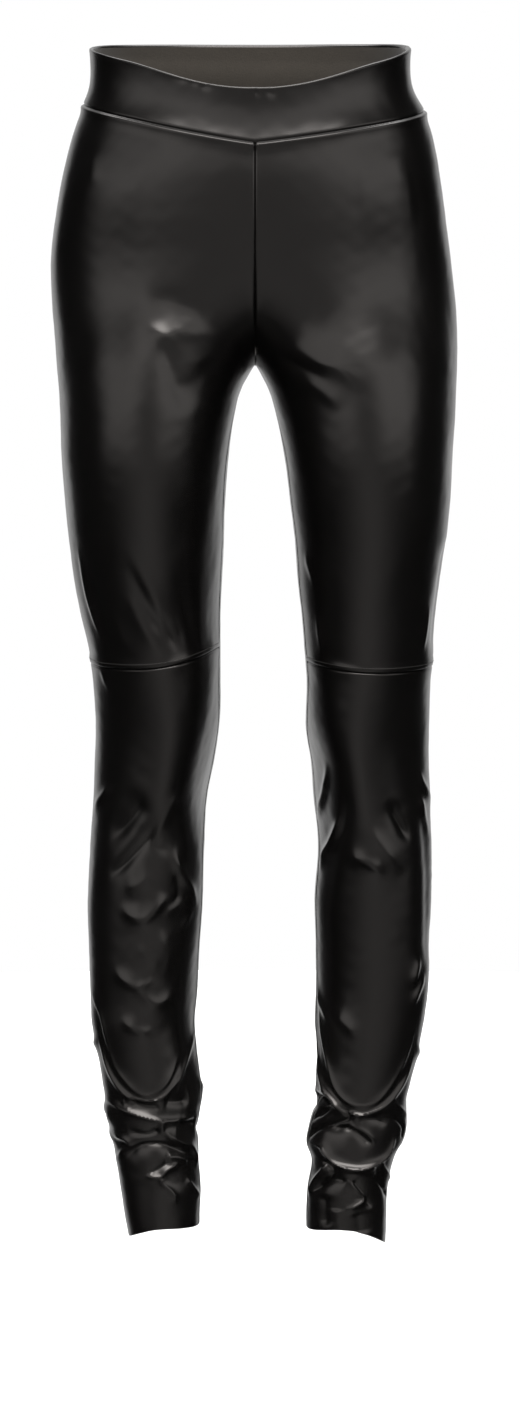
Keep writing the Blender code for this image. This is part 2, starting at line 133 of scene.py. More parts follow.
calfFolds = inFront(
    (-1, ((-128, -489), (-123, -501), (-115, -512)), 1.3, 2.2, 2.2, 0.8),
    (-1, ((-117, -586), (-127, -599), (-136, -614)), 2.7, 3.5, 2.2, 0.8),
    (-1, ((-89, -592), (-103, -613), (-124, -639)), -3.9, 7, 6, 3),
    (-1, ((-77, -612), (-87, -627), (-99, -641), (-112, -655), (-124, -667)), -3.6, 3.5, 4, 1.5),
    (-1, ((-60, -587), (-70, -603), (-78, -618), (-88, -632)), 2.3, 6, 3.5, 1.2),
    (-1, ((-85, -630), (-78, -637), (-67, -636)), -2.3, 4, 4, 2),
    (-1, ((-66, -636), (-66, -650), (-61, -663), (-54, -676), (-48, -692)), 4.4, 6, 2, 0.8),
    (-1, ((-67, -655), (-64, -670), (-64, -680), (-74, -692)), -2.1, 2.5, 2.5, 1),
    (-1, ((-109, -674), (-95, -668), (-82, -657)), 1.8, 5, 4, 3),
    (-1, ((-112, -685), (-104, -694), (-93, -698), (-85, -692), (-78, -683),
          (-71, -676)), 4.2, 7, 3, 1.5),
    (-1, ((-76, -695), (-69, -689), (-61, -683)), 1.3, 2, 2, 0.6),
    (-1, ((-64, -712), (-58, -702), (-51, -693)), 1.4, 2, 2, 0.6),
    (-1, ((-81, -700), (-76, -719), (-72, -732), (-77, -747)), 2.1, 3.5, 8, 2),
    (-1, ((-119, -738), (-112, -747), (-103, -753), (-96, -755), (-90, -751),
          (-84, -744)), 3.2, 5, 2.5, 1.2),
    (-1, ((-101, -755), (-92, -763), (-83, -769), (-74, -766), (-66, -758)), 2.3, 5, 3, 1.5),
    (-1, ((-113, -780), (-103, -789), (-94, -793), (-85, -788)), 2.6, 5, 3, 1.5),
    (-1, ((-97, -717), (-87, -730), (-77, -737)), 1.2, 4, 4, 3),
    (1, ((60, -567), (59, -590), (56, -606), (52, -627)), 4.3, 4, 2, 0.8),
    (1, ((72, -607), (69, -623), (64, -637), (58, -650), (53, -666)), 5.9, 3.5, 2.5, 1),
    (1, ((74, -587), (75, -606), (72, -627), (65, -645)), -3.1, 3, 3, 1.5),
    (1, ((75, -646), (87, -647), (97, -652), (109, -662)), 4.7, 6, 3, 1.5),
    (1, ((108, -598), (116, -610), (123, -623), (130, -636)), -3.5, 3, 4, 1.5),
    (1, ((91, -615), (101, -631), (111, -644), (123, -660)), 2.3, 4, 6, 2),
    (1, ((135, -576), (140, -590), (148, -609)), 2.9, 3, 2.5, 1),
    (1, ((135, -595), (141, -612), (148, -634)), 3.1, 3, 3, 1),
    (1, ((52, -759), (54, -773), (58, -780), (69, -795)), 2.3, 2, 2, 0.6),
    (1, ((66, -779), (75, -787), (88, -799)), 1.8, 4, 3, 1.5),
    (1, ((138, -730), (134, -744), (130, -757)), 2.7, 3, 2.5, 0.8),
    (1, ((142, -746), (136, -760), (129, -776)), 2.7, 2.5, 2.5, 0.8),
)
ankleFolds = inFront(
    (-1, ((-139, -758), (-135, -771), (-129, -782), (-124, -802), (-118, -822), (-109, -835),
          (-99, -844), (-90, -847), (-82, -844), (-74, -837), (-69, -828), (-64, -816),
          (-56, -802)), 1.4, 3.0, 1.3, 0.5),
    (-1, ((-133, -790), (-128, -811), (-122, -828), (-114, -841), (-104, -849), (-90, -851),
          (-79, -849), (-70, -841), (-64, -831), (-61, -817)), 2.5, 1.7, 3.0, 0.5),
    (-1, ((-106, -851), (-92, -856), (-78, -857)), -2.7, 3, 3, 2),
    (-1, ((-129, -856), (-119, -856), (-110, -860), (-99, -863), (-88, -866), (-79, -869),
          (-78, -876), (-81, -881)), 3.4, 2.2, 3.2, 0.6),
    (-1, ((-110, -850), (-108, -856), (-102, -861)), 1.3, 1.8, 2.2, 0.5),
    (-1, ((-51, -795), (-55, -812), (-61, -829), (-64, -840), (-60, -849)), 1.6, 2, 2.5, 0.6),
    (-1, ((-76, -851), (-66, -853), (-55, -853)), -2.7, 4, 3, 2),
    (-1, ((-81, -868), (-69, -869), (-58, -868), (-47, -870)), 2.3, 2.0, 2.5, 0.6),
    (-1, ((-108, -878), (-96, -880), (-87, -879), (-79, -874)), -2.7, 2.5, 2.0, 0.8),
    (-1, ((-66, -872), (-58, -874), (-50, -874)), -3.4, 2.5, 5, 1.5),
    (-1, ((-79, -875), (-71, -883), (-62, -889), (-55, -894), (-52, -903),
          (-48, -917)), 4.7, 6, 2, 0.6),
    (-1, ((-112, -905), (-105, -896), (-96, -890), (-86, -888), (-75, -889), (-66, -893),
          (-55, -900)), -4.4, 2.2, 5, 0.8),
    (-1, ((-121, -886), (-112, -885), (-105, -889), (-110, -896), (-118, -912)), 2.7, 3, 2, 0.8),
    (-1, ((-75, -900), (-66, -900), (-56, -906)), 2.3, 3, 3, 1.5),
    (-1, ((-90, -913), (-80, -909), (-70, -902)), -2.1, 1.8, 1.8, 0.6),
    (-1, ((-93, -916), (-80, -916), (-73, -910), (-63, -905)), 2.6, 2.2, 1.8, 0.6),
    (-1, ((-80, -915), (-77, -922), (-70, -929), (-65, -940)), 2.7, 2.2, 2.6, 0.6),
    (-1, ((-58, -919), (-52, -929), (-47, -941)), 1.7, 2.2, 2.2, 0.8),
    (-1, ((-104, -912), (-103, -936), (-100, -970)), 0.9, 7, 7, 6),
    (-1, ((-91, -918), (-90, -943), (-88, -975)), -1.3, 7, 7, 6),
    (-1, ((-68, -922), (-66, -946), (-64, -975)), 1.1, 7, 7, 6),
    (1, ((53, -764), (54, -787), (58, -810), (62, -828), (67, -842), (76, -852), (87, -856),
         (98, -854), (107, -847), (116, -835), (124, -821), (131, -803),
         (136, -779)), 1.8, 3.0, 1.3, 0.5),
    (1, ((50, -792), (53, -820), (56, -838), (63, -850), (72, -860), (86, -863), (97, -861),
         (109, -855), (119, -844), (128, -830), (135, -809)), 3.2, 1.8, 3.0, 0.5),
    (1, ((51, -836), (52, -851), (57, -855), (61, -858), (55, -865), (45, -880)), -4.4, 2.2, 2.2, 0.7),
    (1, ((68, -857), (77, -862), (77, -867), (63, -873), (49, -881), (44, -892)), -3.8, 2.0, 2.2, 0.7),
    (1, ((84, -867), (99, -867), (111, -872)), -2.1, 2.2, 3, 1.2),
    (1, ((56, -878), (72, -875), (82, -877), (92, -884), (99, -890)), -4.4, 2.0, 5, 0.7),
    (1, ((76, -872), (86, -875), (94, -880), (101, -889)), 2.1, 2.0, 1.8, 0.5),
    (1, ((109, -859), (118, -868), (125, -878), (123, -890)), -3.0, 2.2, 2.2, 0.7),
    (1, ((43, -895), (53, -892), (59, -897), (66, -904), (76, -908), (88, -909), (99, -906),
         (109, -900), (115, -890), (118, -879)), 4.4, 2.6, 1.8, 0.6),
    (1, ((61, -906), (56, -914), (49, -925), (45, -940)), 2.4, 2.0, 1.6, 0.5),
    (1, ((104, -904), (109, -914), (113, -928)), 2.2, 2.0, 1.6, 0.5),
    (1, ((50, -850), (58, -846), (66, -852), (72, -862)), 2.6, 2.4, 1.6, 0.5),
    (1, ((112, -852), (120, -860), (128, -874)), 2.2, 2.2, 1.6, 0.5),
    (1, ((68, -911), (79, -911), (93, -911), (103, -908)), 2.3, 2.0, 4, 0.6),
    (1, ((54, -903), (63, -910), (62, -917), (54, -924), (47, -937)), -4.0, 2.2, 2.2, 0.7),
    (1, ((48, -934), (56, -924), (68, -919), (77, -921)), -2.7, 2.2, 4, 0.8),
    (1, ((76, -917), (84, -926), (91, -935), (84, -941), (73, -945)), 3.0, 2.4, 2.2, 0.6),
    (1, ((81, -918), (88, -928), (98, -945)), -2.7, 2.2, 2.2, 0.7),
    (1, ((99, -913), (106, -925), (111, -941)), -2.7, 2.4, 2.4, 0.7),
    (1, ((58, -932), (58, -946), (59, -961)), -2.1, 4, 5, 3),
    (1, ((69, -943), (69, -951), (70, -962)), 1.2, 4, 4, 3),
    (1, ((86, -946), (87, -957), (88, -967)), -2.3, 5, 5, 3),
)
# the hips' slight roll, and the flat faces outside the left leg
flatFaces = (
    (-1, "front", ((-146, -96), (-118, -100), (-88, -102)), 1.0, 14, 14, 14),
    (1, "front", ((132, -100), (108, -103), (80, -104)), 1.0, 14, 14, 14),
    (1, "outer", ((-22, -600), (-22, -670), (-20, -750)), -3.4, 12, 12, 12),
    (1, "outer", ((-26, -380), (-24, -430), (-22, -484)), -2.6, 10, 10, 12),
)
# hidden sides carry folds like those that show
hiddenFolds = (
    (-1, "back", ((-132, -264), (-92, -277), (-38, -262)), -2.0, 10, 10, 6),
    (-1, "back", ((-124, -284), (-84, -294), (-52, -286)), -1.4, 5.0, 5.0, 2.5),
    (-1, "back", ((-132, -470), (-98, -484), (-60, -478)), -1.6, 3.7, 3.7, 1.2),
    (-1, "back", ((-128, -503), (-85, -514), (-38, -500)), -3.2, 5.0, 5.0, 2.5),
    (-1, "back", ((-124, -520), (-90, -528), (-50, -522)), 1.6, 4.8, 2.6, 1.2),
    (-1, "back", ((-130, -540), (-96, -536), (-46, -550)), -2.0, 3.7, 3.7, 1.2),
    (-1, "back", ((-122, -600), (-100, -640), (-70, -662)), -1.4, 5.0, 5.0, 2.5),
    (-1, "back", ((-132, -800), (-110, -830), (-84, -838), (-56, -812)), 4.0, 7.4, 2.5, 2.5),
    (-1, "back", ((-126, -842), (-90, -856), (-52, -846)), -3.0, 3.1, 3.1, 1.2),
    (-1, "back", ((-122, -862), (-88, -872), (-50, -864)), 2.8, 4.0, 2.2, 1.2),
    (-1, "back", ((-120, -880), (-84, -890), (-50, -880)), -2.6, 3.1, 3.1, 1.2),
    (-1, "back", ((-114, -902), (-84, -908), (-54, -898)), 2.0, 3.7, 2.5, 1.2),
    (-1, "outer", ((-30, -800), (4, -812), (38, -804)), 2.4, 5.2, 2.2, 1.2),
    (-1, "outer", ((-26, -866), (6, -874), (38, -862)), -2.4, 3.1, 3.1, 1.2),
    (-1, "outer", ((-30, -892), (2, -886), (34, -894)), 2.0, 3.1, 3.1, 1.2),
    (-1, "inner", ((-24, -838), (8, -850), (38, -842)), 2.4, 4.0, 2.2, 1.2),
    (-1, "inner", ((-26, -876), (4, -884), (36, -876)), -2.2, 3.1, 3.1, 1.2),
    (1, "back", ((132, -262), (90, -276), (36, -264)), -2.0, 10, 10, 6),
    (1, "back", ((126, -286), (92, -292), (56, -284)), -1.4, 5.0, 5.0, 2.5),
    (1, "back", ((140, -474), (104, -482), (62, -472)), -1.6, 3.7, 3.7, 1.2),
    (1, "back", ((136, -508), (96, -500), (50, -512)), -3.2, 5.0, 5.0, 2.5),
    (1, "back", ((134, -528), (100, -520), (62, -530)), 1.6, 4.8, 2.6, 1.2),
    (1, "back", ((138, -544), (102, -552), (54, -540)), -2.0, 3.7, 3.7, 1.2),
    (1, "back", ((132, -606), (108, -640), (82, -668)), -1.4, 5.0, 5.0, 2.5),
    (1, "back", ((138, -808), (114, -836), (88, -844), (60, -816)), 4.0, 7.4, 2.5, 2.5),
    (1, "back", ((128, -850), (90, -860), (56, -850)), -3.0, 3.1, 3.1, 1.2),
    (1, "back", ((122, -868), (88, -878), (52, -868)), 2.8, 4.0, 2.2, 1.2),
    (1, "back", ((118, -888), (84, -896), (50, -886)), -2.6, 3.1, 3.1, 1.2),
    (1, "back", ((110, -910), (84, -914), (56, -906)), 2.0, 3.7, 2.5, 1.2),
    (1, "outer", ((-30, -806), (4, -820), (36, -808)), 2.4, 5.2, 2.2, 1.2),
    (1, "outer", ((-24, -896), (6, -904), (36, -894)), -2.4, 3.1, 3.1, 1.2),
    (1, "inner", ((-24, -842), (6, -852), (36, -844)), 2.2, 4.0, 2.2, 1.2),
    (1, "inner", ((-26, -868), (6, -862), (36, -870)), -2.2, 3.1, 3.1, 1.2),
)
bandFolds = inFront(
    (-1, ((-41, -20), (-40, -13), (-39, -6)), -2.0, 1.8, 1.8, 0.8),
    (-1, ((-50, -17), (-49, -10), (-49, -3)), -1.1, 1.8, 1.8, 0.8),
    (-1, ((-60, -14), (-59, -8), (-58, -1)), -0.9, 2.2, 2.2, 1.0),
    (1, ((2, -25), (3, -19), (3, -12)), -0.8, 2.2, 2.2, 1.0),
    (1, ((13, -25), (14, -19), (14, -12)), -1.8, 1.8, 1.8, 0.8),
)
# Folds laid one group after another: ease is the share of a path over which each end dies
# away, and passes is how often the group's rise is averaged with its neighbours.
groupColumns = ("folds", "ease", "passes")
foldGroups = (
    (flatFaces, 0.2, 0),
    (groinFolds + thighFolds, 0.36, 1),
    (hiddenFolds + bandFolds, 0.3, 1),
    (calfFolds, 0.34, 2),
    (ankleFolds, 0.22, 0),
)
foldSteps = 8  # straight steps between two places of a path
foldReach = 5  # flank widths from a path beyond which a fold is as good as flat

# Slow unevenness of the whole leather, and the puckers that fade away from a drawn-in seam
waveCount = 9
waveLengths = (0.75, 1.4)  # the shortest and the longest, as shares of the size
unevenness = (dict(height=0.22, size=46, seed=3), dict(height=0.07, size=15, seed=8))
seamPucker = dict(height=0.10, size=9, seed=21, fade=7)


def smoothStep(value):
    # 0 below 0, 1 above 1, eased between
    value = np.clip(value, 0.0, 1.0)
    return value * value * (3 - 2 * value)


def hermite(knots, values, slopes, wanted):
    # the smooth curve with these values and slopes at the knots, read at the wanted places
    wanted = np.clip(wanted, knots[0], knots[-1])
    low = np.clip(np.searchsorted(knots, wanted) - 1, 0, len(knots) - 2)
    span = knots[low + 1] - knots[low]
    part = (wanted - knots[low]) / span
    rest = 1 - part
    start, end = part * rest * rest * span, part * part * rest * span
    return (rest * rest * (1 + 2 * part) * values[low] + start * slopes[low]
            + part * part * (1 + 2 * rest) * values[low + 1] - end * slopes[low + 1])


def readTable(table, column, z):
    # a column of a table at heights z, smooth from row to row
    knots, values = table["z"][::-1], table[column][::-1]
    return hermite(knots, values, np.gradient(values, knots), z)


def legSection(side, z):
    # one leg's ellipse at a height: middle and half width across, middle and half depth, its
    # turn, how much its outer side lies further back than its inner side, and its lag, how far
    # its flat inner face runs back
    name = "left" if side > 0 else "right"
    outer = readTable(outline, name + "Outer", z) * side
    inner = readTable(outline, name + "Inner", z) * side
    front, back = readTable(profile, "front", z), readTable(profile, "back", z)
    turn, lag = readTable(profile, name + "Turn", z), readTable(profile, name + "Lag", z)
    return ((outer + inner) / 2, (outer - inner) / 2, (front + back) / 2, (back - front) / 2,
            turn, lag)


def squareness(z):
    # the exponent of the hip section, which is rounder at the waist
    share = smoothStep((z - form["hipHeight"]) / form["waistBlend"])
    return form["hipSquareness"] + (form["waistSquareness"] - form["hipSquareness"]) * share


def rowHeights(side, level, around):
    # heights between the seam lines: level 0 band top, 1 waist seam, 2 crotch, 3 knee seam,
    # 4 hem. Next to the middle seams rows gather at the crotch as a sine of the level does.
    lines = seamLines[side]
    stations = np.linspace(0, 2, lines.shape[1])
    upper = np.clip(np.floor(level).astype(int), 0, 3)
    part = level - upper
    crowding = density["ankleCrowding"]
    even = np.where(upper == 3, part * (1 + crowding - crowding * part), part)
    gathered = np.select([upper == 1, upper == 2],
                         [np.sin(part * np.pi / 2), 1 - np.cos(part * np.pi / 2)], even)
    share = even + (gathered - even) * np.abs(around - 1) ** density["middleGathering"]
    heights = []
    for index, line in enumerate(lines):
        slopes = np.gradient(line, stations)
        slopes[-1] = 0.0
        if index != 1:  # the waist seam alone comes to a shallow point at the front middle
            slopes[0] = 0.0
        heights.append(hermite(stations, line, slopes, around))
    heights = np.array(heights)
    above = np.take_along_axis(heights, upper[None], 0)[0]
    below = np.take_along_axis(heights, upper[None] + 1, 0)[0]
    return above + (below - above) * share


def bodySurface(side, level, around):
    # x and y from an ellipse round the leg, cut at the middle plane above the crotch and
    # blended there into one squared ellipse round both hips
    z = rowHeights(side, level, around)
    centre, halfWidth, depthCentre, halfDepth, turn, lag = legSection(side, z)
    seam = np.radians(form["sideSeam"])
    swing = smoothStep((form["crotch"] - z) / form["inseamSwing"])
    cut = np.arccos(np.clip(-centre / halfWidth, -1, 1))
    back = around > 1
    inseam = np.radians(180 - form["inseam"]) * swing * np.where(back, -1, 1)
    turned = np.where(z > form["crotch"], np.pi - cut, inseam)
    reach = np.abs(around - 1)
    power = 1 + 2 * np.clip(1 - turned / (np.pi / 2), 0, 1)
    full = np.where(back, -np.pi - seam, np.pi - seam)
    angle = seam + full * reach - np.sign(full) * turned * reach ** power
    legX = centre + halfWidth * np.cos(angle)
    across = np.cos(angle)
    legY = depthCentre - halfDepth * (np.sin(angle) - turn * across
                                      - lag * np.maximum(-across, 0) ** 3)
    hipAngle = np.where(back, seam - (np.pi / 2 + seam) * (around - 1),
                        np.pi / 2 + (seam - np.pi / 2) * around)
    power = 2 / squareness(z)
    hipX = (centre + halfWidth) * np.abs(np.cos(hipAngle)) ** power
    hipY = depthCentre - halfDepth * np.sign(np.sin(hipAngle)) * np.abs(np.sin(hipAngle)) ** power
    blend = smoothStep((z - form["crotch"]) / form["hipBlend"])
    x = np.maximum(legX + (hipX - legX) * blend, 0.0)
    y = legY + (hipY - legY) * blend
    return np.stack([x * side, y, z], axis=-1)


def placeOnGarment(side, face, path):
    # the points of the plain form under a path seen from the front, back, outer or inner side
    seen, z = np.array(path, dtype=float).T
    centre, halfWidth, depthCentre, halfDepth, turn, lag = legSection(side, z)
    if face in ("outer", "inner"):
        way = 1 if face == "outer" else -1
        across = np.clip((seen - depthCentre) / halfDepth - turn * way - lag * (way < 0), -1, 1)
        x = centre + halfWidth * np.sqrt(1 - across ** 2) * way
        return np.stack([x * side, seen, z], axis=-1)
    across = np.clip((seen * side - centre) / halfWidth, -1, 1)
    hipAcross = np.clip(seen * side / (centre + halfWidth), 0, 1)
    square = squareness(z)
    blend = smoothStep((z - form["crotch"]) / form["hipBlend"])
    legDepth = np.sqrt(1 - across ** 2)
    depth = legDepth + ((1 - hipAcross ** square) ** (1 / square) - legDepth) * blend
    shift = turn * across + lag * np.maximum(-across, 0) ** 3
    depth = depth * (1 if face == "back" else -1) + shift * (1 - blend)
    return np.stack([seen, depthCentre + halfDepth * depth, z], axis=-1)


def curveThrough(places, steps):
    # a smooth line through the places, with the same number of steps between each two
    stations = np.arange(len(places), dtype=float)
    wanted = np.linspace(0, len(places) - 1, steps * (len(places) - 1) + 1)
    return np.stack([hermite(stations, column, np.gradient(column), wanted)
                     for column in places.T], axis=-1)


def foldRise(side, points, normals, folds, ease, passes):
    # each fold is exp(-away / width) across its path, where away is the distance measured from
    # inside a rounded crest, and it is eased to nothing over a share of the path at its ends.
    # The sum is averaged with its neighbours a few times, which rounds where folds meet.
    rise = np.zeros(points.shape[:-1])
    for fold in (dict(zip(foldColumns, row)) for row in folds):
        if fold["side"] != side:
            continue
        route = curveThrough(placeOnGarment(side, fold["face"], fold["path"]), foldSteps)
        reach = foldReach * max(fold["above"], fold["below"]) + fold["round"]
        near = ((points > route.min(0) - reach) & (points < route.max(0) + reach)).all(-1)
        spots, out = points[near], normals[near]
        best, share = np.full(len(spots), np.inf), np.zeros(len(spots))
        sign = np.ones(len(spots))
        for index in range(len(route) - 1):
            run = route[index + 1] - route[index]
            away = spots - route[index]
            along = np.clip((away @ run) / (run @ run), 0, 1)
            away = away - along[:, None] * run
            distance = np.linalg.norm(away, axis=-1)
            nearer = distance < best
            above = np.sum(away * np.cross(out, run), axis=-1) > 0
            best = np.where(nearer, distance, best)
            share = np.where(nearer, (index + along) / (len(route) - 1), share)
            sign = np.where(nearer, np.where(above, 1, -1), sign)
        # the upper flank of a path drawn towards +x is on the same side whichever way it runs
        if route[-1, 0] < route[0, 0]:
            sign = -sign
        if fold["face"] == "back":
            sign = -sign
        width = np.where(sign > 0, fold["above"], fold["below"])
        away = np.sqrt(best ** 2 + fold["round"] ** 2) - fold["round"]
        ends = smoothStep(share / ease) * smoothStep((1 - share) / ease)
        rise[near] += fold["rise"] * ends * np.exp(-away / width)
    for _ in range(passes):
        rise[1:-1] = (rise[:-2] + 2 * rise[1:-1] + rise[2:]) / 4
        rise[:, 1:-1] = (rise[:, :-2] + 2 * rise[:, 1:-1] + rise[:, 2:]) / 4
    return rise


def softWaves(points, size, seed):
    # smooth unevenness, mostly between -1 and 1: a few waves of about one length, added up,
    # in seeded directions
    rng = np.random.default_rng(seed)
    total = np.zeros(points.shape[:-1])
    for _ in range(waveCount):
        way = rng.normal(size=3)
        way *= 2 * np.pi / (size * rng.uniform(*waveLengths)) / np.linalg.norm(way)
        total += np.sin(points @ way + rng.uniform(0, 2 * np.pi))
    return total / (waveCount / 2)


def unit(vectors):
    # each vector at length 1
    return vectors / np.maximum(np.linalg.norm(vectors, axis=-1, keepdims=True), 1e-9)


def gridNormals(points, side, crotchRow):
    # outward normals of one side's grid; past the middle seams lies its mirror image above
    # the crotch, and its own other edge below it
    down = np.gradient(points, axis=0)
    mirrored = points * (-1, 1, 1)
    across = np.empty_like(points)
    across[:, 1:-1] = points[:, 2:] - points[:, :-2]
    across[:, 0] = points[:, 1] - mirrored[:, 1]
    across[:, -1] = mirrored[:, -2] - points[:, -2]
    across[crotchRow + 1:, 0] = across[crotchRow + 1:, -1] = (
        points[crotchRow + 1:, 1] - points[crotchRow + 1:, -2])
    normals = unit(np.cross(across, down) * -side)
    shared = unit(normals[crotchRow:, 0] + normals[crotchRow:, -1])
    normals[crotchRow:, 0] = normals[crotchRow:, -1] = shared
    return normals


def gradedSteps(start, end, count, fine=(0, 0.25, 0.6, 1.0, 1.5, 2.1, 2.9, 3.9, 5.2, 7.0)):
    # shares from 0 to 1: fine steps in millimetres next to both seams, even steps between;
    # start and end are how many millimetres the whole stretch would be at each end's pace
    first, last = np.array(fine) / start, 1 - np.array(fine)[::-1] / end
    middle = np.linspace(first[-1], last[0], count + 2)[1:-1]
    return np.concatenate([first, middle, last])


gridSteps = dict(
    band=gradedSteps(start=46, end=46, count=12), hip=gradedSteps(start=230, end=200, count=66),
    thigh=gradedSteps(start=200, end=300, count=84),
    shin=gradedSteps(start=700, end=267, count=320),
    front=gradedSteps(start=230, end=150, count=110),
    back=gradedSteps(start=160, end=230, count=52))


def sideGrid(side):
    # one side's whole outside in millimetres, from the band's top to the hem and from the
    # front middle round to the back middle, with the rows and columns where its seams lie
    rows, seamRows = [], {}
    for index, stretch in enumerate(("band", "hip", "thigh", "shin")):
        seamRows[stretch] = sum(len(part) for part in rows)
        rows.append(index + gridSteps[stretch][:-1])
    levels = np.concatenate(rows + [[4.0]])
    columns = np.concatenate([gridSteps["front"][:-1], 1 + gridSteps["back"]])
    seamColumn = len(gridSteps["front"]) - 1
    points = bodySurface(side, *np.meshgrid(levels, columns, indexing="ij"))
    crotchRow = seamRows["thigh"]
    for group in (dict(zip(groupColumns, row)) for row in foldGroups):
        normals = gridNormals(points, side, crotchRow)
        rise = foldRise(side, points, normals, **group)
        points = points + normals * rise[..., None]
    normals = gridNormals(points, side, crotchRow)
    waves = sum(wave["height"] * softWaves(points, wave["size"], wave["seed"])
                for wave in unevenness)
    points = points + normals * waves[..., None]
    return dict(points=points, normals=gridNormals(points, side, crotchRow),
                rows=seamRows, seamColumn=seamColumn)


def edgeDistances(points):
    # millimetres from each point to the grid's top, bottom, start and end edges
    down = np.linalg.norm(np.diff(points, axis=0), axis=-1)
    over = np.linalg.norm(np.diff(points, axis=1), axis=-1)
    top = np.concatenate([np.zeros((1, points.shape[1])), np.cumsum(down, axis=0)])
    start = np.concatenate([np.zeros((points.shape[0], 1)), np.cumsum(over, axis=1)], axis=1)
    return dict(top=top, bottom=top[-1:] - top, start=start, end=start[:, -1:] - start)


def bump(distance, place, width):
    # a rounded rise of height 1 at a distance from a seam
    return np.exp(-((distance - place) / width) ** 2)


# How the leather lies next to each kind of seam, as a rise in millimetres over the distance
# from its edge: drawn in at the seam, then swelling a little. The band is a shallow hollow.
seamShapes = dict(
    plain=lambda d: -0.95 * bump(d, 0, 0.75) + 0.16 * bump(d, 2.6, 1.6),
    underBand=lambda d: (1.7 * smoothStep(d / 2.8) * bump(d, 0, 5.5) - 0.6 * bump(d, 0, 1.4)
                         - 0.6 * smoothStep(d / 12) * bump(d, 0, 30)),
    bandFoot=lambda d: -1.3 * bump(d, 0, 1.1) + 0.0046 * (d - 20) ** 2 - 2.3,
    aboveKnee=lambda d: (-0.9 * bump(d, 0, 0.6) - 0.45 * bump(d, 5.0, 0.6)
                         + 0.75 * smoothStep(d / 1.2) * smoothStep((6.9 - d) / 1.3)),
    belowKnee=lambda d: 0.3 * smoothStep(d / 1.8) * bump(d, 0, 6) - 0.8 * bump(d, 0, 0.8),
)


def addObject(name, data):
    made = bpy.data.objects.new(name, data)
    bpy.context.scene.collection.objects.link(made)
    return made


def makeShell(name, outside, inside, rounded, materials):
    # a closed shell: down the outside, round the bottom edge, up the inside and round the top
    # edge as one loop of rows, with a strip down each side. A rounded edge is half a circle.
    def edgeRows(outer, inner, before):
        middle = (outer + inner) / 2
        radius = np.linalg.norm(outer - inner, axis=-1, keepdims=True) / 2
        way = unit(outer - before)
        turns = np.pi * np.arange(1, density["rimSteps"]) / density["rimSteps"]
        return [middle + (outer - middle) * np.cos(turn) + way * radius * np.sin(turn)
                for turn in turns]

    bottom = edgeRows(outside[-1], inside[-1], outside[-2]) if "bottom" in rounded else []
    top = edgeRows(outside[0], inside[0], outside[1])[::-1] if "top" in rounded else []
    rim = (-1, *outside.shape[1:])
    loop = np.concatenate([outside, np.array(bottom).reshape(rim), inside[::-1],
                           np.array(top).reshape(rim)])
    rows, columns = loop.shape[:2]
    index = np.arange(rows * columns).reshape(rows, columns)
    after = np.roll(index, -1, axis=0)
    quads = np.stack([index[:, :-1], after[:, :-1], after[:, 1:], index[:, 1:]], axis=-1)
    count = len(outside)
    firstInner = count + len(bottom)
    outer, inner = index[:count], index[firstInner:firstInner + count][::-1]
    caps = [np.stack([outer[:-1, 0], inner[:-1, 0], inner[1:, 0], outer[1:, 0]], axis=-1),
            np.stack([outer[:-1, -1], outer[1:, -1], inner[1:, -1], inner[:-1, -1]], axis=-1)]
    faces = np.concatenate([quads.reshape(-1, 4)] + caps).tolist()
    if len(bottom):
        faces.append(index[count - 1:firstInner + 1, 0].tolist()[::-1])
        faces.append(index[count - 1:firstInner + 1, -1].tolist())
    if len(top):
        edge = np.concatenate([index[firstInner + count - 1:], index[:1]])
        faces.append(edge[:, 0].tolist()[::-1])
        faces.append(edge[:, -1].tolist())
    mesh = bpy.data.meshes.new(name)
    mesh.from_pydata((loop.reshape(-1, 3) * mm).tolist(), [], faces)
    for material in materials:
        mesh.materials.append(material)
    slots = np.zeros(len(mesh.polygons), dtype=np.int32)
    perRow = columns - 1
    slots[firstInner * perRow:(firstInner + count - 1) * perRow] = 1
    mesh.polygons.foreach_set("material_index", slots)
    # the first face must look outwards, or every face is turned
    corner = loop[[0, 1, 1], [0, 0, 1]]
    way = np.cross(corner[1] - corner[0], corner[2] - corner[0])
    if way @ (outside[0, 0] - inside[0, 0]) < 0:
        mesh.flip_normals()
    mesh.shade_smooth()
    mesh.set_sharp_from_angle(angle=np.radians(density["sharpAngle"]))
    return addObject(name, mesh)


def panelShell(name, node, grid, side, rows, columns, seams, wall, proud=0.0, rounded=()):
    # a panel of the grid: its edges drawn back half a seam gap, its outside shaped next to
    # each seam, and its inside one wall further in
    points, normals = grid["points"][rows, columns].copy(), grid["normals"][rows, columns]
    distances = edgeDistances(points)
    nearest = np.minimum(distances["start"], distances["end"])
    every = slice(None)
    steps = dict(top=((0, every), (1, every)), bottom=((-1, every), (-2, every)),
                 start=((every, 0), (every, 1)), end=((every, -1), (every, -2)))
    for edge in seams:
        place, following = steps[edge]
        points[place] += unit(points[following] - points[place]) * form["seamGap"] / 2
    if side:
        points[..., 0] = side * np.maximum(points[..., 0] * side, form["seamGap"] / 2)
    # a drawn-in seam puckers the leather a little beside it
    pucker = (seamPucker["height"] * softWaves(points, seamPucker["size"], seamPucker["seed"])
              * np.exp(-nearest / seamPucker["fade"]))
    rise = proud + pucker + sum(seamShapes[kind](distances[edge]) for edge, kind in seams.items())
    outside = points + normals * rise[..., None]
    inside = grid["points"][rows, columns] + normals * (np.minimum(rise, 0) - wall)[..., None]
    if side:
        outside[..., 0] = side * np.maximum(outside[..., 0] * side, form["seamGap"] / 2)
        inside[..., 0] = side * np.maximum(inside[..., 0] * side, 0)
    piece = makeShell(name, outside, inside, rounded, panelMaterials)
    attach(piece, "root")
    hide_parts(node)
    return piece, outside, normals


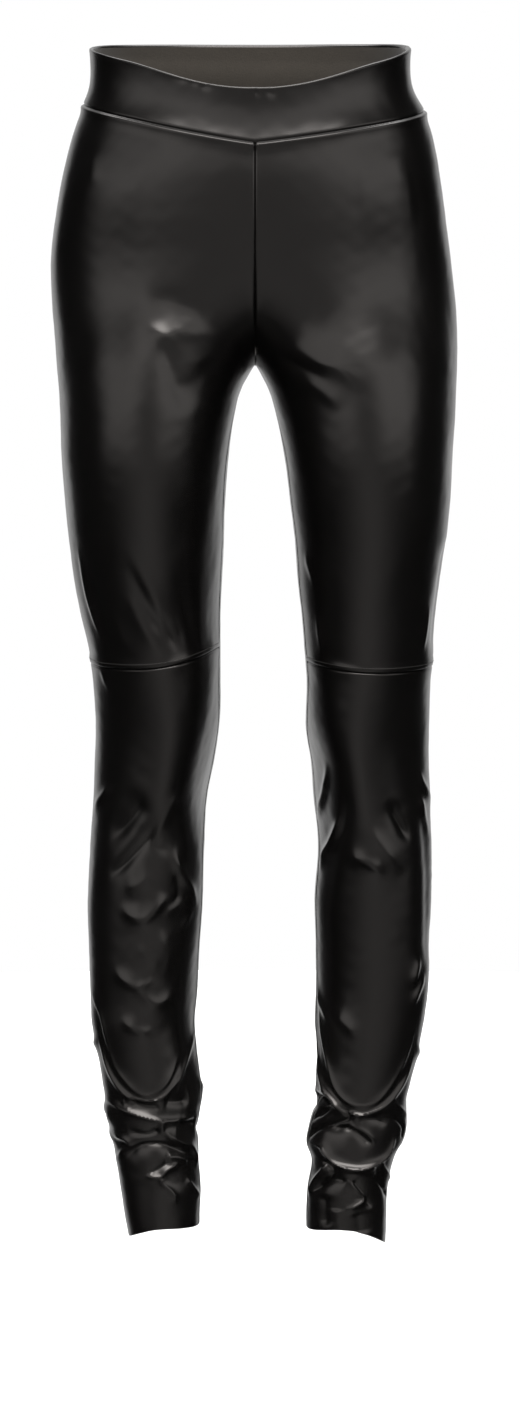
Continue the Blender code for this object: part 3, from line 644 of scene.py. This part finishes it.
# The leather's surface: pebbles to a metre and how soft they are, worn patches to a metre and
# how fine they go, how far the patches change shine and colour, and the pebbles' depth in metres
grainLook = dict(pebbles=1100.0, softness=0.6, patches=26.0, patchDetail=5.0, shineChange=0.035,
                 colourChange=0.35, depth=0.0001)


def makeGrainGroup():
    # fine pebbled grain, and slow changes of shine and colour where the film is worn or stretched
    group = bpy.data.node_groups.new("leather grain", "ShaderNodeTree")
    for name, kind, value in (("Scale", "NodeSocketFloat", 1.0),
                              ("Colour", "NodeSocketColor", (0.01, 0.01, 0.01, 1)),
                              ("Roughness", "NodeSocketFloat", 0.35),
                              ("Relief", "NodeSocketFloat", 0.1)):
        socket = group.interface.new_socket(name, in_out="INPUT", socket_type=kind)
        socket.default_value = value
    for name, kind in (("Colour", "NodeSocketColor"), ("Roughness", "NodeSocketFloat"),
                       ("Normal", "NodeSocketVector")):
        group.interface.new_socket(name, in_out="OUTPUT", socket_type=kind)
    nodes, link = group.nodes, group.links.new
    given, result = nodes.new("NodeGroupInput"), nodes.new("NodeGroupOutput")
    place = nodes.new("ShaderNodeTexCoord")
    cells = nodes.new("ShaderNodeTexVoronoi")
    cells.feature = "SMOOTH_F1"
    cells.inputs["Smoothness"].default_value = grainLook["softness"]
    size = nodes.new("ShaderNodeMath")
    size.operation = "MULTIPLY"
    size.inputs[1].default_value = grainLook["pebbles"]
    link(given.outputs["Scale"], size.inputs[0])
    link(size.outputs[0], cells.inputs["Scale"])
    link(place.outputs["Object"], cells.inputs["Vector"])
    patches = nodes.new("ShaderNodeTexNoise")
    patches.inputs["Scale"].default_value = grainLook["patches"]
    patches.inputs["Detail"].default_value = grainLook["patchDetail"]
    link(place.outputs["Object"], patches.inputs["Vector"])
    shine = nodes.new("ShaderNodeMapRange")
    shine.inputs["To Min"].default_value = -grainLook["shineChange"]
    shine.inputs["To Max"].default_value = grainLook["shineChange"]
    link(patches.outputs["Fac"], shine.inputs["Value"])
    total = nodes.new("ShaderNodeMath")
    total.operation = "ADD"
    link(given.outputs["Roughness"], total.inputs[0])
    link(shine.outputs["Result"], total.inputs[1])
    link(total.outputs[0], result.inputs["Roughness"])
    shade = nodes.new("ShaderNodeMix")
    shade.data_type = "RGBA"
    shade.blend_type = "MULTIPLY"
    shade.inputs["Factor"].default_value = grainLook["colourChange"]
    link(given.outputs["Colour"], shade.inputs["A"])
    link(patches.outputs["Fac"], shade.inputs["B"])
    link(shade.outputs["Result"], result.inputs["Colour"])
    relief = nodes.new("ShaderNodeBump")
    relief.inputs["Distance"].default_value = grainLook["depth"]
    link(given.outputs["Relief"], relief.inputs["Strength"])
    link(cells.outputs["Distance"], relief.inputs["Height"])
    link(relief.outputs["Normal"], result.inputs["Normal"])
    return group


def startMaterial(name):
    # a new material, its nodes and its shader
    material = bpy.data.materials.new(name)
    material.use_nodes = True
    return material, material.node_tree, material.node_tree.nodes["Principled BSDF"]


def fauxLeather(name, look):
    # a glossy film over the leather grain
    material, tree, shader = startMaterial(name)
    grain = tree.nodes.new("ShaderNodeGroup")
    grain.node_tree = leatherGrain
    for socket, value in (("Scale", look["grain"]), ("Colour", (*look["colour"], 1)),
                          ("Roughness", look["roughness"]), ("Relief", look["relief"])):
        grain.inputs[socket].default_value = value
    for socket in ("Roughness", "Normal"):
        tree.links.new(grain.outputs[socket], shader.inputs[socket])
    tree.links.new(grain.outputs["Colour"], shader.inputs["Base Color"])
    shader.inputs["IOR"].default_value = look["ior"]
    shader.inputs["Specular Tint"].default_value = (*look["tint"], 1)
    return material


def knitBacking(name, look):
    # the fabric behind the film: fine mottling with a little fuzz
    material, tree, shader = startMaterial(name)
    shader.inputs["Roughness"].default_value = look["roughness"]
    shader.inputs["Sheen Weight"].default_value = look["fuzz"]
    place = tree.nodes.new("ShaderNodeTexCoord")
    mottling = tree.nodes.new("ShaderNodeTexNoise")
    mottling.inputs["Scale"].default_value = look["mottling"]
    ramp = tree.nodes.new("ShaderNodeValToRGB")
    ramp.color_ramp.elements[0].color = (*look["dark"], 1)
    ramp.color_ramp.elements[1].color = (*look["light"], 1)
    relief = tree.nodes.new("ShaderNodeBump")
    relief.inputs["Distance"].default_value = look["depth"]
    relief.inputs["Strength"].default_value = look["relief"]
    tree.links.new(place.outputs["Object"], mottling.inputs["Vector"])
    tree.links.new(mottling.outputs["Fac"], ramp.inputs["Fac"])
    tree.links.new(ramp.outputs["Color"], shader.inputs["Base Color"])
    tree.links.new(mottling.outputs["Fac"], relief.inputs["Height"])
    tree.links.new(relief.outputs["Normal"], shader.inputs["Normal"])
    return material


leatherGrain = makeGrainGroup()
leatherLook = dict(colour=(0.0024, 0.0022, 0.0021), roughness=0.24, relief=0.18, grain=1.0,
                   ior=1.5, tint=(1.0, 0.94, 0.90))
backingLook = dict(dark=(0.022, 0.017, 0.012), light=(0.05, 0.041, 0.030), roughness=0.9,
                   fuzz=0.25, mottling=900.0, relief=0.5, depth=0.0003)
threadLook = dict(colour=(0.045, 0.042, 0.040), roughness=0.45, relief=0.1, grain=3.0,
                  ior=1.45, tint=(1.0, 0.95, 0.92))
leather = fauxLeather("faux leather", leatherLook)
backing = knitBacking("knit backing", backingLook)
thread = fauxLeather("sewing thread", threadLook)
panelMaterials = (leather, backing)

sides = {side: sideGrid(side) for side in (-1, 1)}
print("leg forms ready")

kneeSeams = {}
for side, name in ((-1, "right"), (1, "left")):
    grid = sides[side]
    waist, knee = grid["rows"]["hip"], grid["rows"]["shin"]
    front, rear = slice(0, grid["seamColumn"] + 1), slice(grid["seamColumn"], None)
    thighPiece, thighOutside, thighNormals = panelShell(
        "frontThigh_" + name, "front_thigh_" + name, grid, side, slice(waist, knee + 1), front,
        dict(start="plain", end="plain", top="underBand", bottom="aboveKnee"), form["wall"])
    shinPiece, _, _ = panelShell(
        "frontShin_" + name, "front_shin_" + name, grid, side, slice(knee, None), front,
        dict(start="plain", end="plain", top="belowKnee"), form["wall"], rounded=("bottom",))
    backPiece, _, _ = panelShell(
        "back_" + name + "Shell", "back_" + name, grid, side, slice(waist, None), rear,
        dict(start="plain", end="plain", top="underBand"), form["wall"], rounded=("bottom",))
    kneeSeams[name] = (thighOutside, thighNormals)
print("leg panels ready")

# The waistband: each half runs from the right side seam over the middle to the left one
for name, cut, way in (("front", "bandFront", slice(sides[1]["seamColumn"], None, -1)),
                       ("back", "bandBack", slice(sides[1]["seamColumn"], None))):
    joined = {}
    rows = slice(0, sides[1]["rows"]["hip"] + 1)
    for key in ("points", "normals"):
        right, left = (sides[side][key][rows, way] for side in (-1, 1))
        joined[key] = np.concatenate([right, left[:, -2::-1]], axis=1)
    piece, _, _ = panelShell(
        "band_" + name, "waistband_" + name, joined, 0, slice(None), slice(None),
        dict(start="plain", end="plain", bottom="bandFoot"), form["band"],
        proud=form["bandProud"], rounded=("top",))
print("waistband ready")

stitching = dict(fromSeam=5.0, pitch=2.6, length=1.9, thickness=0.42, sink=0.05, start=1.5,
                 stop=3.0, rings=7, sides=6, taper=0.97)


def kneeStitches(name, outside, normals):
    # thread along a line at an even distance above the knee seam: each stitch is a round bar
    # whose radius falls off towards both ends as a half circle does
    fromBottom = edgeDistances(outside)["bottom"]
    row = np.argmin(np.abs(fromBottom - stitching["fromSeam"]), axis=0)
    columns = np.arange(outside.shape[1])
    nearRow = np.clip(row, 1, outside.shape[0] - 2)
    over = fromBottom[nearRow, columns] - stitching["fromSeam"]
    step = outside[nearRow + 1, columns] - outside[nearRow, columns]
    line = outside[nearRow, columns] + step * (over / np.linalg.norm(step, axis=-1))[:, None]
    out = normals[nearRow, columns]
    travel = np.concatenate([[0], np.cumsum(np.linalg.norm(np.diff(line, axis=0), axis=-1))])
    starts = np.arange(stitching["start"], travel[-1] - stitching["stop"], stitching["pitch"])
    rings = np.linspace(-1, 1, stitching["rings"])
    at = starts[:, None] + stitching["length"] * (1 + rings[None, :]) / 2
    centre = np.stack([np.interp(at, travel, line[:, axis]) for axis in range(3)], axis=-1)
    up = np.stack([np.interp(at, travel, out[:, axis]) for axis in range(3)], axis=-1)
    sideways = np.cross(unit(np.gradient(centre, axis=1)), up)
    halfThick = stitching["thickness"] / 2
    radius = halfThick * np.sqrt(np.clip(1 - rings ** 2 * stitching["taper"], 0, 1))
    turns = 2 * np.pi * np.arange(stitching["sides"]) / stitching["sides"]
    ring = (np.cos(turns)[None, None, :, None] * sideways[:, :, None]
            + np.sin(turns)[None, None, :, None] * up[:, :, None]) * radius[None, :, None, None]
    points = centre[:, :, None] + ring + up[:, :, None] * (halfThick - stitching["sink"])
    count, length, around = points.shape[:3]
    index = np.arange(count * length * around).reshape(count, length, around)
    nextTurn = np.roll(index, -1, axis=2)
    walls = np.stack([index[:, :-1], nextTurn[:, :-1], nextTurn[:, 1:], index[:, 1:]], axis=-1)
    ends = index[:, 0, ::-1].tolist() + index[:, -1].tolist()
    mesh = bpy.data.meshes.new(name)
    faces = walls.reshape(-1, 4).tolist() + ends
    mesh.from_pydata((points.reshape(-1, 3) * mm).tolist(), [], faces)
    mesh.materials.append(thread)
    mesh.shade_smooth()
    piece = addObject(name, mesh)
    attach(piece, "root")


for name, (outside, normals) in kneeSeams.items():
    kneeStitches("kneeStitches_" + name, outside, normals)
print("stitching ready")

studio = dict(floorHeight=-1.10, floorRadius=2.2, floorSides=96, floorColour=(0.9, 0.9, 0.9),
              floorRoughness=0.8, cameraDistance=3.5, cameraHeight=-0.19, cameraAcross=0.004,
              pitch=5.5, lens=106.7, sensor=36.0, dimmest=0.012)


def makeFloor():
    # a round pale floor, one flat face
    turns = 2 * np.pi * np.arange(studio["floorSides"]) / studio["floorSides"]
    points = np.stack([np.cos(turns), np.sin(turns), turns * 0], axis=-1) * studio["floorRadius"]
    points[:, 2] = studio["floorHeight"]
    mesh = bpy.data.meshes.new("studioFloor")
    mesh.from_pydata(points.tolist(), [], [list(range(studio["floorSides"]))])
    material, _, shader = startMaterial("pale floor")
    shader.inputs["Base Color"].default_value = (*studio["floorColour"], 1)
    shader.inputs["Roughness"].default_value = studio["floorRoughness"]
    mesh.materials.append(material)
    floor = addObject("studioFloor", mesh)
    floor.visible_glossy = False  # the leather mirrors the studio, which is darker than the floor


# Soft lights of the studio by direction, in degrees: azimuth 0 is towards the camera and
# positive to its right as the photo is seen, elevation is up. 1.0 is the white backdrop.
lightColumns = ("azimuth", "halfWidth", "sideEase", "elevation", "halfHeight", "ease", "brightness")
studioLights = (
    (0, 38, 84, -40, 36, 34, 0.50),
    (-50, 28, 38, 16, 17, 26, 0.88),
    (52, 28, 38, 16, 17, 26, 1.04),
    (0, 78, 20, 12, 17, 22, 0.32),
    (0, 32, 36, 32, 15, 20, 0.80),
    (0, 42, 32, 60, 15, 16, 9.00),
    (0, 400, 10, 90, 34, 20, 2.00),
    (180, 36, 12, 0, 40, 24, 0.80),
    (180, 60, 30, 62, 12, 16, 5.00),
)


def makeWorld():
    # every light is a smooth patch of the sky; they add up, and the camera itself sees white
    world = bpy.data.worlds.new("studio")
    bpy.context.scene.world = world
    world.use_nodes = True
    tree = world.node_tree
    nodes, link = tree.nodes, tree.links.new

    def math(operation, *values):
        node = nodes.new("ShaderNodeMath")
        node.operation = operation
        for socket, value in zip(node.inputs, values):
            if isinstance(value, (int, float)):
                socket.default_value = value
            else:
                link(value, socket)
        return node.outputs[0]

    def within(distance, half, ease):
        # 1 inside the half width, 0 outside it, eased between
        node = nodes.new("ShaderNodeMapRange")
        node.interpolation_type = "SMOOTHSTEP"
        node.inputs["From Min"].default_value = float(np.radians(half - ease / 2))
        node.inputs["From Max"].default_value = float(np.radians(half + ease / 2))
        node.inputs["To Min"].default_value = 1.0
        node.inputs["To Max"].default_value = 0.0
        link(distance, node.inputs["Value"])
        return node.outputs["Result"]

    place = nodes.new("ShaderNodeTexCoord")
    parts = nodes.new("ShaderNodeSeparateXYZ")
    link(place.outputs["Generated"], parts.inputs["Vector"])
    azimuth = math("ARCTAN2", parts.outputs["X"], math("MULTIPLY", parts.outputs["Y"], -1.0))
    elevation = math("ARCSINE", parts.outputs["Z"])
    total = studio["dimmest"]
    for row in studioLights:
        light = dict(zip(lightColumns, row))
        away = math("SUBTRACT", azimuth, float(np.radians(light["azimuth"])))
        away = math("ABSOLUTE", math("WRAP", away, float(np.pi), float(-np.pi)))
        rise = math("ABSOLUTE", math("SUBTRACT", elevation, float(np.radians(light["elevation"]))))
        patch = math("MULTIPLY", within(away, light["halfWidth"], light["sideEase"]),
                     within(rise, light["halfHeight"], light["ease"]))
        total = math("ADD", total, math("MULTIPLY", patch, light["brightness"]))
    seen = nodes.new("ShaderNodeLightPath")
    unseen = math("SUBTRACT", 1.0, seen.outputs["Is Camera Ray"])
    total = math("ADD", math("MULTIPLY", total, unseen), seen.outputs["Is Camera Ray"])
    link(total, nodes["Background"].inputs["Strength"])
    nodes["Background"].inputs["Color"].default_value = (1, 1, 1, 1)


def makeCamera():
    data = bpy.data.cameras.new("studioCamera")
    data.sensor_fit = "VERTICAL"
    data.sensor_height = studio["sensor"]
    data.lens = studio["lens"]
    camera = addObject("studioCamera", data)
    camera.location = (studio["cameraAcross"], -studio["cameraDistance"], studio["cameraHeight"])
    camera.rotation_euler = (np.radians(90 - studio["pitch"]), 0, 0)
    bpy.context.scene.camera = camera


makeFloor()
makeWorld()
makeCamera()
bpy.context.scene.view_settings.view_transform = "Standard"
print("studio ready")
